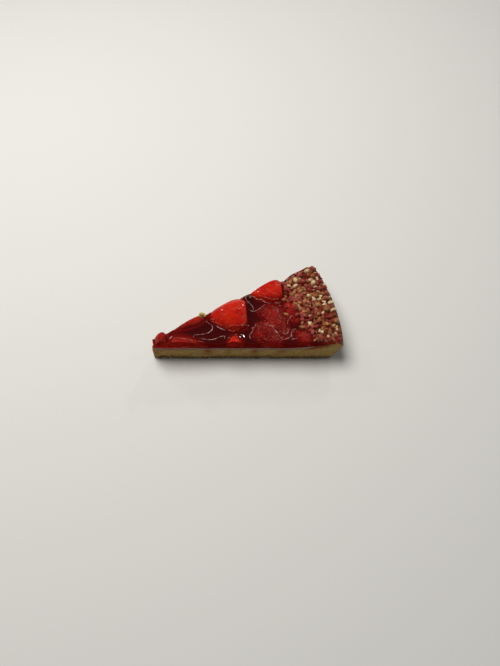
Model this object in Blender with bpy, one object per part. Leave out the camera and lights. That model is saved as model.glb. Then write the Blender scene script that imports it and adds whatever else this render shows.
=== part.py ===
# A slice of strawberry tart: a shortcrust base with a raised rim, a layer of vanilla cream,
# red fruit jelly with ten pieces of strawberry set in it, and chopped nuts along the rim.
# Metres, +Z up. The slice points along -X, its rim lies at +X and its near cut faces -Y.
# Places are measured from the centre of the whole tart, which an empty marks.

import math
import random

import bmesh
import bpy
from mathutils import Matrix, Vector, noise
from mathutils.bvhtree import BVHTree

# The whole tart and the slice
RIM_RADIUS = 0.133
SLICE_ANGLE = math.radians(29.0)
ANGLE_STEPS = 13
INNER_RINGS = (0.070, 0.040, 0.015)
GAP = 0.0003

# Shortcrust base: (radius, height) along its inside, its rim and its outer wall
NOSE_RADIUS = 0.0037
BASE_THICKNESS = 0.011
PASTRY_INSIDE = [
    (0.098, BASE_THICKNESS),
    (0.104, 0.0119),
    (0.109, 0.0138),
    (0.1135, 0.0164),
    (0.118, 0.0182),
    (0.122, 0.0194),
]
PASTRY_RIM = [
    (0.1253, 0.0202),
    (0.1288, 0.0204),
    (0.1315, 0.0198),
    (RIM_RADIUS, 0.0184),
]
PASTRY_WALL = [
    (0.1327, 0.0160),
    (0.1314, 0.0120),
    (0.1296, 0.0076),
    (0.1279, 0.0032),
    (0.1263, 0.0008),
]
FOOT_RADIUS = 0.1246
BASE_STEP = 0.004
CRAG_DEPTH = 0.0009
CRAG_SCALE = 260.0
RAGGED_EDGE = 0.0009
NOTCH_START = 0.0070
NOTCH_END = 0.0135
NOTCH_HEIGHT = 0.0022

# The rim stands higher at the far cut than at the near cut
RIM_LIFT = 0.0022
LIFT_START = 0.100
LIFT_END = 0.122
# Its outer wall rises with it, fully from the second height upward
WALL_LIFT = (0.004, 0.018)

# Vanilla cream: its upper face
CREAM_NOSE = 0.0043
CREAM_LEVEL = 0.0145
CREAM_TOP = [
    (0.098, CREAM_LEVEL),
    (0.104, 0.0152),
    (0.109, 0.0163),
    (0.1135, 0.0174),
]

# Red fruit jelly: pools between the berries, thicker under the nuts
JELLY_NOSE = 0.0056
JELLY_EDGE = 0.1268
POOL_LEVEL = 0.0203
NUT_BED_RISE = 0.0014
NUT_BED_START = 0.094
NUT_BED_END = 0.103
LIP_START = 0.112
LIP_THICKNESS = 0.0011
JELLY_STEP = 0.0036
RIPPLE_DEPTH = 0.0005
RIPPLE_SCALE = 110.0
# Local rises and hollows in it: plan place, reach, height
SWELLS = [
    (0.0672, 0.0360, 0.0036, 0.0030),
    (0.0936, 0.0519, 0.0036, -0.0035),
]
# It climbs a little way up each berry
CLIMB_HEIGHT = 0.0011
CLIMB_REACH = 0.0028

# Strawberries, halved lengthways and laid on the cut side.
# middle: centre in plan. size: length and width. tip: the way the tip points, in degrees.
# base, top: heights of the cut side and the crest. hull: share left at the stalk end.
# taper: how slowly the tip widens. crest: how slowly it rises. square: how boxy it is across.
# knife: plan lines from one point to another, of which the left-hand side is kept.
BERRY_SHOULDER = 0.72
BERRY_WAVE = 0.06
WAVE_SCALE = 1.4
WAVE_SHIFT = 3.7
BERRY_RINGS = 10
BERRY_SIDES = 20
BERRY_SMOOTH = math.radians(40)
POCKET_OVERRUN = 0.002
CREASE = ((0.0785, 0.0198), (0.0930, 0.0002))
NUTTED_EDGE = ((0.0922, 0.0310), (0.0992, 0.0140))
FRONT_EDGE = ((0.0500, 0.0086), (0.0700, 0.0086))
TIP_EDGE = ((0.0414, 0.0250), (0.0414, 0.0120))
BACK_EDGE = ((0.0950, 0.0305), (0.0750, 0.0295))
BERRIES = [
    dict(middle=(0.0104, 0.0029), size=(0.0094, 0.0084), tip=195, base=0.0160, top=0.0266,
         hull=1.0, taper=0.6, crest=0.6, square=3.0, knife=[]),
    dict(middle=(0.0288, 0.0000), size=(0.0275, 0.0136), tip=358, base=0.0161, top=0.0230,
         hull=1.0, taper=0.8, crest=0.7, square=2.4, knife=[]),
    dict(middle=(0.0282, 0.0150), size=(0.0300, 0.0100), tip=209, base=0.0163, top=0.0243,
         hull=0.95, taper=0.7, crest=0.7, square=2.4, knife=[TIP_EDGE[::-1]]),
    dict(middle=(0.0556, 0.0219), size=(0.0325, 0.0268), tip=186, base=0.0160, top=0.0280,
         hull=0.86, taper=0.80, crest=0.62, square=2.3, knife=[FRONT_EDGE, TIP_EDGE]),
    dict(middle=(0.0600, 0.0008), size=(0.0170, 0.0136), tip=92, base=0.0162, top=0.0240,
         hull=1.0, taper=0.9, crest=0.5, square=2.0, knife=[FRONT_EDGE[::-1]]),
    dict(middle=(0.0806, 0.0406), size=(0.0290, 0.0208), tip=186, base=0.0161, top=0.0272,
         hull=0.89, taper=1.15, crest=0.48, square=2.6, knife=[BACK_EDGE[::-1]]),
    dict(middle=(0.0876, 0.0158), size=(0.0328, 0.0200), tip=296, base=0.0163, top=0.0246,
         hull=1.0, taper=0.6, crest=0.6, square=2.5,
         knife=[CREASE, NUTTED_EDGE[::-1], BACK_EDGE]),
    dict(middle=(0.0830, 0.0064), size=(0.0235, 0.0190), tip=318, base=0.0160, top=0.0240,
         hull=1.0, taper=0.6, crest=0.6, square=2.5, knife=[CREASE[::-1]]),
    dict(middle=(0.1008, 0.0236), size=(0.0222, 0.0172), tip=278, base=0.0187, top=0.0243,
         hull=1.0, taper=0.7, crest=0.6, square=2.5, knife=[NUTTED_EDGE]),
    dict(middle=(0.1046, 0.0048), size=(0.0152, 0.0126), tip=150, base=0.0185, top=0.0238,
         hull=1.0, taper=0.7, crest=0.6, square=2.2, knife=[]),
]
NUTTED_BERRY = 8

# Chopped nuts: their ring, as (angle in degrees, inner radius), and their sizes
NUT_RING = [(0.0, 0.1125), (6.0, 0.105), (12.0, 0.104), (17.0, 0.096), (29.0, 0.099)]
NUT_COUNT = 88
NUT_LARGEST = 0.0054
NUT_SMALLEST = 0.0031
NUT_UNEVEN = (0.82, 1.12)
NUT_WIDTH = (0.6, 0.9)
NUT_HEIGHT = (0.55, 0.8)
NUT_LEAN = 25
NUT_SPACING = 1.04
NUT_RIM_MARGIN = 0.6
NUT_CUT_MARGIN = 0.58
NUT_SINK = 0.0007
NUT_TRIES = 12000
NUT_SEED = 29

# Finishes: linear colour and roughness
PASTRY_FINISH = ((0.36, 0.21, 0.075, 1), 0.85)
CREAM_FINISH = ((0.58, 0.42, 0.22, 1), 0.6)
JELLY_FINISH = ((0.17, 0.004, 0.004, 1), 0.12)
BERRY_FINISH = ((0.42, 0.012, 0.008, 1), 0.2)

# How near two corners lie when they count as one
POLE_MERGE = 0.0001
CUT_MERGE = 0.00002
PLANE_MERGE = 0.000001
CUT_ANGLE_MARGIN = 0.001

# Where the slice lies: the middle of its box is the origin
CENTRE_X = -(RIM_RADIUS + NOSE_RADIUS * math.cos(SLICE_ANGLE)) / 2
CENTRE_Y = -RIM_RADIUS * math.sin(SLICE_ANGLE) / 2
UP = Vector((0, 0, 1))


def ease(value, low, high):
    share = min(1.0, max(0.0, (value - low) / (high - low)))
    return share * share * (3 - 2 * share)


def along(points, value):
    # Height on the straight runs between the given points, level beyond the first and last
    for (start, low), (end, high) in zip(points, points[1:]):
        if value <= end:
            share = max(0.0, (value - start) / (end - start))
            return low + (high - low) * share
    return points[-1][1]


def rim_lift(radius, angle):
    return RIM_LIFT * (angle / SLICE_ANGLE) * ease(radius, LIFT_START, LIFT_END)


def steps_between(start, end, step):
    count = max(1, round((end - start) / step))
    return [start + (end - start) * index / count for index in range(count + 1)]


def finish_mesh(name, bm, finish, smooth_angle=None):
    # Flat triangles only, because a Boolean reads a warped face in its own way
    bmesh.ops.triangulate(bm, faces=bm.faces[:])
    bmesh.ops.recalc_face_normals(bm, faces=bm.faces[:])
    mesh = bpy.data.meshes.new(name)
    bm.to_mesh(mesh)
    bm.free()
    if smooth_angle is not None:
        mesh.shade_smooth()
        mesh.set_sharp_from_angle(angle=smooth_angle)
    colour, roughness = finish
    material = bpy.data.materials.new(name)
    material.use_nodes = True
    shader = material.node_tree.nodes["Principled BSDF"]
    shader.inputs["Base Color"].default_value = colour
    shader.inputs["Roughness"].default_value = roughness
    shader.inputs["Metallic"].default_value = 0.0
    mesh.materials.append(material)
    piece = bpy.data.objects.new(name, mesh)
    bpy.context.scene.collection.objects.link(piece)
    piece.parent = tart_centre
    return piece


def spun_wedge(profile):
    # A closed outline in the near cut, turned through the slice and capped at both cuts
    bm = bmesh.new()
    verts = [bm.verts.new((radius, 0.0, height)) for radius, height in profile]
    edges = [bm.edges.new((verts[index - 1], verts[index])) for index in range(len(verts))]
    bmesh.ops.spin(
        bm, geom=verts + edges, cent=(0, 0, 0), axis=(0, 0, 1), dvec=(0, 0, 0),
        angle=SLICE_ANGLE, steps=ANGLE_STEPS, use_duplicate=False,
    )
    open_edges = [edge for edge in bm.edges if edge.is_boundary]
    bmesh.ops.holes_fill(bm, edges=open_edges, sides=0)
    return bm


def plan_place(vert):
    return math.hypot(vert.co.x, vert.co.y), math.atan2(vert.co.y, vert.co.x)


def at_a_cut(angle):
    return angle < CUT_ANGLE_MARGIN or angle > SLICE_ANGLE - CUT_ANGLE_MARGIN


def crag(point):
    return 0.5 + 0.5 * noise.noise(Vector(point) * CRAG_SCALE)


def pastry_base():
    floor = [(radius, 0.0) for radius in steps_between(NOSE_RADIUS, FOOT_RADIUS, BASE_STEP)]
    wall = list(reversed(PASTRY_WALL))
    crest = list(reversed(PASTRY_RIM))
    slope = list(reversed(PASTRY_INSIDE))
    top = [(radius, BASE_THICKNESS) for radius in (*INNER_RINGS, NOSE_RADIUS)]
    bm = spun_wedge(floor + wall + crest + slope + top)
    for vert in bm.verts:
        radius, angle = plan_place(vert)
        height = vert.co.z
        outside = radius > FOOT_RADIUS + GAP
        if height < GAP:
            if at_a_cut(angle):
                vert.co.z = RAGGED_EDGE * crag(vert.co)
            if NOTCH_START < radius < NOTCH_END:
                vert.co.z = NOTCH_HEIGHT
        elif outside:
            vert.co.z += rim_lift(radius, angle) * ease(height, *WALL_LIFT)
            if not at_a_cut(angle):
                inward = 1 - CRAG_DEPTH * crag(vert.co) / radius
                vert.co.x *= inward
                vert.co.y *= inward
                vert.co.z += CRAG_DEPTH * (crag((angle, radius, height)) - 0.5)
        else:
            vert.co.z += rim_lift(radius, angle)
    return finish_mesh("pastry_base", bm, PASTRY_FINISH)


def vanilla_cream():
    under = [(radius, height + GAP) for radius, height in PASTRY_INSIDE[:len(CREAM_TOP)]]
    runs = [(radius, CREAM_LEVEL) for radius in (*INNER_RINGS, CREAM_NOSE)]
    nose = [(CREAM_NOSE, BASE_THICKNESS + GAP)]
    bm = spun_wedge(nose + under + list(reversed(CREAM_TOP)) + runs)
    for vert in bm.verts:
        vert.co.z += rim_lift(*plan_place(vert))
    return finish_mesh("vanilla_cream", bm, CREAM_FINISH)


def jelly_floor(radius):
    if radius <= CREAM_TOP[-1][0]:
        return along(CREAM_TOP, radius) + GAP
    return along(PASTRY_INSIDE + PASTRY_RIM, radius) + GAP


def outside_berries(x, y):
    # Distance in plan from the nearest berry, with each taken as an ellipse
    nearest = math.inf
    for spec in BERRIES:
        length, width = spec["size"]
        offset = Vector((x - spec["middle"][0], y - spec["middle"][1], 0))
        offset.rotate(Matrix.Rotation(-math.radians(spec["tip"]), 3, "Z"))
        stretched = math.hypot(offset.x / length, offset.y / width) * 2
        nearest = min(nearest, (stretched - 1) * width / 2)
    return max(0.0, nearest)


def jelly_surface(x, y):
    radius = math.hypot(x, y)
    angle = math.atan2(y, x)
    height = POOL_LEVEL + NUT_BED_RISE * ease(radius, NUT_BED_START, NUT_BED_END)
    height += RIPPLE_DEPTH * noise.noise(Vector((x, y, 0.0)) * RIPPLE_SCALE)
    for middle_x, middle_y, reach, rise in SWELLS:
        away = math.hypot(x - middle_x, y - middle_y) / reach
        height += rise * math.exp(-away * away)
    away = outside_berries(x, y) / CLIMB_REACH
    height += CLIMB_HEIGHT * math.exp(-away * away)
    lip = jelly_floor(radius) + LIP_THICKNESS
    share = ease(radius, LIP_START, JELLY_EDGE)
    return height * (1 - share) + lip * share + rim_lift(radius, angle)


def jelly_wedge():
    radii = steps_between(JELLY_NOSE, CREAM_TOP[0][0], JELLY_STEP)[:-1]
    radii += [radius for radius, height in PASTRY_INSIDE + PASTRY_RIM if radius < JELLY_EDGE]
    radii += [JELLY_EDGE]
    above = 1.0
    profile = [(radius, jelly_floor(radius)) for radius in radii]
    profile += [(radius, above) for radius in reversed(radii)]
    bm = spun_wedge(profile)
    for vert in bm.verts:
        if vert.co.z == above:
            vert.co.z = jelly_surface(vert.co.x, vert.co.y)
        else:
            vert.co.z += rim_lift(*plan_place(vert))
    return finish_mesh("fruit_jelly", bm, JELLY_FINISH)


def berry_girth(share, taper):
    # Half width of a berry, as a share, from its tip at 0 to its stalk end at 1
    if share < BERRY_SHOULDER:
        return math.sin(math.pi / 2 * share / BERRY_SHOULDER) ** taper
    past = (share - BERRY_SHOULDER) / (1 - BERRY_SHOULDER)
    return math.sqrt(max(0.0, 1 - past * past))


def cut_away(bm, point, outward):
    # Cuts along a plane, drops the side it faces and closes the cut
    bmesh.ops.bisect_plane(
        bm, geom=bm.verts[:] + bm.edges[:] + bm.faces[:], dist=PLANE_MERGE,
        plane_co=point, plane_no=outward, clear_outer=True,
    )
    open_edges = [edge for edge in bm.edges if edge.is_boundary]
    bmesh.ops.holes_fill(bm, edges=open_edges, sides=0)


def berry_mesh(number, spare=0.0, past_cuts=0.0):
    # spare grows the berry on every side, past_cuts lets it run out of the slice's cuts
    spec = BERRIES[number]
    length, width = spec["size"]
    half_length = length / 2 + spare
    half_width = width / 2 + spare
    rise = spec["top"] - spec["base"] + spare
    bm = bmesh.new()
    verts = []
    for index in range(BERRY_RINGS + 1):
        share = 0.5 - 0.5 * math.cos(math.pi * index / BERRY_RINGS)
        girth = 0.0 if index in (0, BERRY_RINGS) else berry_girth(share, spec["taper"])
        verts.append(bm.verts.new((1 - 2 * share, girth, 0.0)))
    edges = [bm.edges.new(pair) for pair in zip(verts, verts[1:])]
    bmesh.ops.spin(
        bm, geom=verts + edges, cent=(0, 0, 0), axis=(1, 0, 0), dvec=(0, 0, 0),
        angle=math.tau, steps=BERRY_SIDES, use_merge=True, use_duplicate=False,
    )
    bmesh.ops.remove_doubles(bm, verts=bm.verts[:], dist=POLE_MERGE)
    power = 2 / spec["square"]
    for vert in bm.verts:
        girth = math.hypot(vert.co.y, vert.co.z)
        place = vert.co * WAVE_SCALE + Vector((WAVE_SHIFT * number, 0, 0))
        wave = 1 + BERRY_WAVE * noise.noise(place)
        turn = math.atan2(vert.co.z, vert.co.y)
        across = math.copysign(abs(math.cos(turn)) ** power, math.cos(turn))
        upward = math.copysign(abs(math.sin(turn)) ** power, math.sin(turn))
        vert.co.x *= half_length
        vert.co.y = girth * across * half_width * wave
        vert.co.z = girth ** spec["crest"] * upward * rise * wave
    if spec["hull"] < 1:
        end = length * (0.5 - spec["hull"]) - spare
        cut_away(bm, (end, 0, 0), (-1, 0, 0))
    turned = Matrix.Rotation(math.radians(spec["tip"]), 4, "Z")
    placed = Matrix.Translation((*spec["middle"], spec["base"]))
    bmesh.ops.transform(bm, matrix=placed @ turned, verts=bm.verts[:])
    cut_away(bm, (0, 0, spec["base"] - spare), (0, 0, -1))
    for (x0, y0), (x1, y1) in spec["knife"]:
        run = Vector((x1 - x0, y1 - y0, 0)).normalized()
        right = Vector((run.y, -run.x, 0))
        cut_away(bm, Vector((x0, y0, 0)) + right * spare, right)
    cut_away(bm, (0, -past_cuts, 0), (0, -1, 0))
    far_side = Vector((-math.sin(SLICE_ANGLE), math.cos(SLICE_ANGLE), 0))
    cut_away(bm, far_side * past_cuts, far_side)
    bmesh.ops.remove_doubles(bm, verts=bm.verts[:], dist=CUT_MERGE)
    return bm


def strawberry(number):
    name = "strawberry_" + str(number + 1)
    bm = berry_mesh(number)
    return finish_mesh(name, bm, BERRY_FINISH, BERRY_SMOOTH)


def apply_modifiers(piece):
    depsgraph = bpy.context.evaluated_depsgraph_get()
    mesh = bpy.data.meshes.new_from_object(piece.evaluated_get(depsgraph))
    piece.modifiers.clear()
    piece.data = mesh


def keep_main_body(piece):
    # A sealed hollow or a loose scrap is a body of its own: only the largest one stays
    bm = bmesh.new()
    bm.from_mesh(piece.data)
    unseen = set(bm.verts)
    bodies = []
    while unseen:
        reached = {unseen.pop()}
        edge_of_search = list(reached)
        while edge_of_search:
            vert = edge_of_search.pop()
            for edge in vert.link_edges:
                other = edge.other_vert(vert)
                if other in unseen:
                    unseen.remove(other)
                    reached.add(other)
                    edge_of_search.append(other)
        bodies.append(reached)
    bodies.sort(key=len)
    scrap = [vert for body in bodies[:-1] for vert in body]
    bmesh.ops.delete(bm, geom=scrap, context="VERTS")
    bm.to_mesh(piece.data)
    bm.free()


def add_boolean(piece, operation, tools):
    group = bpy.data.collections.new(piece.name + " tools")
    for tool in tools:
        group.objects.link(tool)
    boolean = piece.modifiers.new(operation.lower(), "BOOLEAN")
    boolean.operation = operation
    boolean.operand_type = "COLLECTION"
    boolean.collection = group
    boolean.solver = "EXACT"
    bpy.context.view_layer.update()
    apply_modifiers(piece)
    for tool in tools:
        bpy.data.objects.remove(tool)
    bpy.data.collections.remove(group)
    keep_main_body(piece)


def tool_object(name, bm):
    bmesh.ops.triangulate(bm, faces=bm.faces[:])
    bmesh.ops.recalc_face_normals(bm, faces=bm.faces[:])
    mesh = bpy.data.meshes.new(name)
    bm.to_mesh(mesh)
    bm.free()
    tool = bpy.data.objects.new(name, mesh)
    bpy.context.scene.collection.objects.link(tool)
    tool.hide_render = True
    tool.display_type = "WIRE"
    tool.parent = tart_centre
    return tool


def surface_tree(piece):
    bm = bmesh.new()
    bm.from_mesh(piece.data)
    tree = BVHTree.FromBMesh(bm)
    bm.free()
    return tree


def nut_mesh(rng, x, y, surface, size):
    # A chopped piece: a block with uneven corners, longer one way than the other
    bm = bmesh.new()
    bmesh.ops.create_cube(bm, size=1.0)
    bmesh.ops.poke(bm, faces=bm.faces[:])
    for vert in bm.verts:
        vert.co = vert.co.normalized() * 0.5 * rng.uniform(*NUT_UNEVEN)
    width = size * rng.uniform(*NUT_WIDTH)
    height = size * rng.uniform(*NUT_HEIGHT)
    shape = Matrix.Diagonal((size, width, height, 1))
    lean = Matrix.Rotation(math.radians(rng.uniform(-NUT_LEAN, NUT_LEAN)), 4, "X")
    turn = Matrix.Rotation(rng.uniform(0, math.tau), 4, "Z")
    bmesh.ops.transform(bm, matrix=turn @ lean @ shape, verts=bm.verts[:])
    lowest = min(vert.co.z for vert in bm.verts)
    lift = Vector((x, y, surface - NUT_SINK - lowest))
    bmesh.ops.translate(bm, vec=lift, verts=bm.verts[:])
    return bm


def clear_of(bm, trees):
    # True where every corner lies outside the other pieces, at least a gap away
    for tree in trees:
        for vert in bm.verts:
            if tree.find_nearest(vert.co)[3] < GAP:
                return False
            face_above = tree.ray_cast(vert.co, UP)[1]
            if face_above is not None and face_above.z > 0:
                return False
    return True


def inside_slice(x, y, room):
    to_far_cut = x * math.sin(SLICE_ANGLE) - y * math.cos(SLICE_ANGLE)
    return min(y, to_far_cut) > room


def carrier_below(x, y, trees):
    # Name and height of the topmost surface under a place
    hits = {}
    for name, tree in trees.items():
        hit = tree.ray_cast(Vector((x, y, 2 * POOL_LEVEL)), -UP)[0]
        if hit is not None:
            hits[name] = hit.z
    top = max(hits, key=hits.get)
    return top, hits[top]


def scatter_nuts(nodes, carriers):
    rng = random.Random(NUT_SEED)
    trees = {piece.name: surface_tree(piece) for piece in nodes}
    on_carrier = {piece.name: [] for piece in carriers}
    laid = []
    for attempt in range(NUT_TRIES):
        if len(laid) == NUT_COUNT:
            break
        size = NUT_LARGEST + (NUT_SMALLEST - NUT_LARGEST) * len(laid) / NUT_COUNT
        angle = rng.uniform(0, SLICE_ANGLE)
        inner = along(NUT_RING, math.degrees(angle))
        radius = math.sqrt(rng.uniform(inner ** 2, (RIM_RADIUS - NUT_RIM_MARGIN * size) ** 2))
        x = radius * math.cos(angle)
        y = radius * math.sin(angle)
        if not inside_slice(x, y, NUT_CUT_MARGIN * size):
            continue
        if any(math.hypot(x - a, y - b) < NUT_SPACING * (size + other) / 2 for a, b, other in laid):
            continue
        carrier, surface = carrier_below(x, y, trees)
        if carrier not in on_carrier:
            continue
        bm = nut_mesh(rng, x, y, surface, size)
        if not clear_of(bm, [tree for name, tree in trees.items() if name != carrier]):
            bm.free()
            continue
        laid.append((x, y, size))
        on_carrier[carrier].append(tool_object("nut", bm))
    for piece in carriers:
        add_boolean(piece, "UNION", on_carrier[piece.name])


for old in list(bpy.data.objects):
    bpy.data.objects.remove(old)

tart_centre = bpy.data.objects.new("tart_centre", None)
tart_centre.location = (CENTRE_X, CENTRE_Y, 0)
bpy.context.scene.collection.objects.link(tart_centre)

base = pastry_base()
cream = vanilla_cream()
jelly = jelly_wedge()
berries = [strawberry(number) for number in range(len(BERRIES))]
pockets = [
    tool_object("pocket", berry_mesh(number, spare=GAP, past_cuts=POCKET_OVERRUN))
    for number in range(len(BERRIES))
]
add_boolean(jelly, "DIFFERENCE", pockets)
scatter_nuts([base, cream, jelly] + berries, [base, jelly, berries[NUTTED_BERRY]])
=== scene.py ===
import math
import random

import bmesh
import bpy
from mathutils import Matrix, Vector, noise
from mathutils.bvhtree import BVHTree
from mathutils.kdtree import KDTree


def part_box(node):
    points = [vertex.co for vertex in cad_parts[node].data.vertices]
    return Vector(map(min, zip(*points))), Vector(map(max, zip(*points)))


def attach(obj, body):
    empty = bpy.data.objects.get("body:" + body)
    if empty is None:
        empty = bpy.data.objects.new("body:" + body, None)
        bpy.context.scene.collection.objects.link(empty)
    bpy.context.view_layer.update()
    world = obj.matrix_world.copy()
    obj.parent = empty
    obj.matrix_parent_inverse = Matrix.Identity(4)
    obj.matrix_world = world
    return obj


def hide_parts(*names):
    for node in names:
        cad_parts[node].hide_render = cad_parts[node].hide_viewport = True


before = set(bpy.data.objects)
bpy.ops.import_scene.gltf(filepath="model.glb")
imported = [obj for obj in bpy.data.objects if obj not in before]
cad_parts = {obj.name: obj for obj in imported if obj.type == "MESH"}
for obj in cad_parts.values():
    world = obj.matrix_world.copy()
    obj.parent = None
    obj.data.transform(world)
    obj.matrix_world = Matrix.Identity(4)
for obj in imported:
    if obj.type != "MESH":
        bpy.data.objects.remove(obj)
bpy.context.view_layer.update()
print("frame loaded,", len(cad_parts), "solids")

tart = {
    "cutAngle": math.radians(29),  # between the two cuts
    "noseRadius": 0.0037,          # the very tip is broken off
    "rimRadius": 0.133,
    "rimLift": 0.0022,             # the rim stands higher at the far cut
    "liftFrom": 0.100,
    "liftTo": 0.122,
}
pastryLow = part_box("pastry_base")[0]
centre = Vector((pastryLow.x - tart["noseRadius"] * math.cos(tart["cutAngle"]), pastryLow.y, 0))
detail = 1.0  # coarser meshes while trying things
farInward = Vector((math.sin(tart["cutAngle"]), -math.cos(tart["cutAngle"]), 0))
nearInward = Vector((0, 1, 0))
up = Vector((0, 0, 1))
aloft = 0.05        # above everything, where a look straight down starts
farAway = 0.02      # distances are not told apart beyond this
mergeWithin = 0.00001


def ease(value, low, high):
    share = min(1.0, max(0.0, (value - low) / (high - low)))
    return share * share * (3 - 2 * share)


def along(points, value):
    # Height on the straight runs between the points, level beyond the first and last
    for (start, low), (end, high) in zip(points, points[1:]):
        if value <= end:
            share = max(0.0, (value - start) / (end - start))
            return low + (high - low) * share
    return points[-1][1]


def stepsBetween(start, end, step):
    count = max(1, round((end - start) / step))
    return [start + (end - start) * index / count for index in range(count + 1)]


def rimLift(radius, angle):
    return tart["rimLift"] * angle / tart["cutAngle"] * ease(radius, tart["liftFrom"], tart["liftTo"])


def crumble(point, grain):
    # 1 on top of a crumb, 0 in the crack between two
    nearest = noise.voronoi(point / grain)[0]
    return min(1.0, 2.5 * (nearest[1] - nearest[0]))


def fromCut(co):
    # Distance to the nearer cut, the way in from it, and half the slice's width here
    near = co.y
    far = co.x * farInward.x + co.y * farInward.y
    if near < far:
        return near, nearInward, (near + far) / 2
    return far, farInward, (near + far) / 2


def carveCuts(bm, reach, depthAt):
    # Works a relief into both cuts; it fades out inside, so that no face turns over
    for vert in bm.verts:
        distance, inward, halfWidth = fromCut(vert.co)
        fade = 1 - distance / min(reach, 0.8 * halfWidth)
        if fade > 0:
            vert.co += inward * depthAt(vert.co - inward * distance) * fade


def wedge(radii, rows, steps):
    # A filled grid standing in the near cut, (radius, share of the height), turned through the slice
    bm = bmesh.new()
    columns = len(radii) - 1
    bmesh.ops.create_grid(bm, x_segments=columns, y_segments=rows, size=0.5)
    for vert in bm.verts:
        vert.co = (radii[round((vert.co.x + 0.5) * columns)], 0, vert.co.y + 0.5)
    bmesh.ops.spin(
        bm, geom=bm.verts[:] + bm.edges[:] + bm.faces[:], cent=(0, 0, 0), axis=(0, 0, 1),
        dvec=(0, 0, 0), angle=tart["cutAngle"], steps=steps, use_duplicate=False,
    )
    bmesh.ops.recalc_face_normals(bm, faces=bm.faces[:])
    return bm


def cutAway(bm, point, outward, closeness):
    # Cuts off what lies beyond the plane, closes the opening and gives the new faces
    bmesh.ops.bisect_plane(
        bm, geom=bm.verts[:] + bm.edges[:] + bm.faces[:], dist=closeness,
        plane_co=point, plane_no=outward, clear_outer=True,
    )
    openEdges = [edge for edge in bm.edges if edge.is_boundary]
    return bmesh.ops.holes_fill(bm, edges=openEdges, sides=0)["faces"]


def addTo(joined, bm):
    scratch = bpy.data.meshes.new("scratch")
    bm.to_mesh(scratch)
    bm.free()
    joined.from_mesh(scratch)
    bpy.data.meshes.remove(scratch)


def evaluatedMesh(piece):
    bpy.context.view_layer.update()
    return bpy.data.meshes.new_from_object(piece.evaluated_get(bpy.context.evaluated_depsgraph_get()))


def setAttribute(mesh, name, values):
    layer = mesh.attributes.new(name, "FLOAT", "POINT")
    layer.data.foreach_set("value", values)


def showPiece(name, bm, materials, sharpAngle, nodes=()):
    # Moves the finished shape onto the solids and gives it its finish and its body
    bmesh.ops.translate(bm, vec=centre, verts=bm.verts[:])
    mesh = bpy.data.meshes.new(name)
    bm.to_mesh(mesh)
    bm.free()
    mesh.shade_smooth()
    mesh.set_sharp_from_angle(angle=math.radians(sharpAngle))
    for material in materials:
        mesh.materials.append(material)
    piece = bpy.data.objects.new(name, mesh)
    bpy.context.scene.collection.objects.link(piece)
    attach(piece, "root")
    if nodes:
        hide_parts(*nodes)
    print(name, "made,", sum(len(face.vertices) - 2 for face in mesh.polygons), "triangles")
    return piece


# Materials

def hexColour(code):
    # sRGB hex to the linear values that a shader reads
    shares = [int(code[start:start + 2], 16) / 255 for start in (1, 3, 5)]
    return (*[s / 12.92 if s <= 0.04045 else ((s + 0.055) / 1.055) ** 2.4 for s in shares], 1)


def addNode(tree, kind, settings=None, links=None):
    # One node: properties and input values by name, a ramp as (position, hex) pairs, and its links
    made = tree.nodes.new(kind)
    for name, value in (settings or {}).items():
        if name == "ramp":
            elements = made.color_ramp.elements
            while len(elements) < len(value):
                elements.new(0.5)
            for element, (position, code) in zip(elements, value):
                element.position = position
                element.color = hexColour(code)
        elif isinstance(name, str) and hasattr(made, name):
            setattr(made, name, value)
        else:
            made.inputs[name].default_value = value
    for name, socket in (links or {}).items():
        tree.links.new(socket, made.inputs[name])
    return made


def newMaterial(name, settings):
    material = bpy.data.materials.new(name)
    material.use_nodes = True
    tree = material.node_tree
    shader = tree.nodes["Principled BSDF"]
    for socket, value in settings.items():
        shader.inputs[socket].default_value = value
    place = addNode(tree, "ShaderNodeTexCoord").outputs["Object"]
    return material, tree, shader, place


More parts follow.
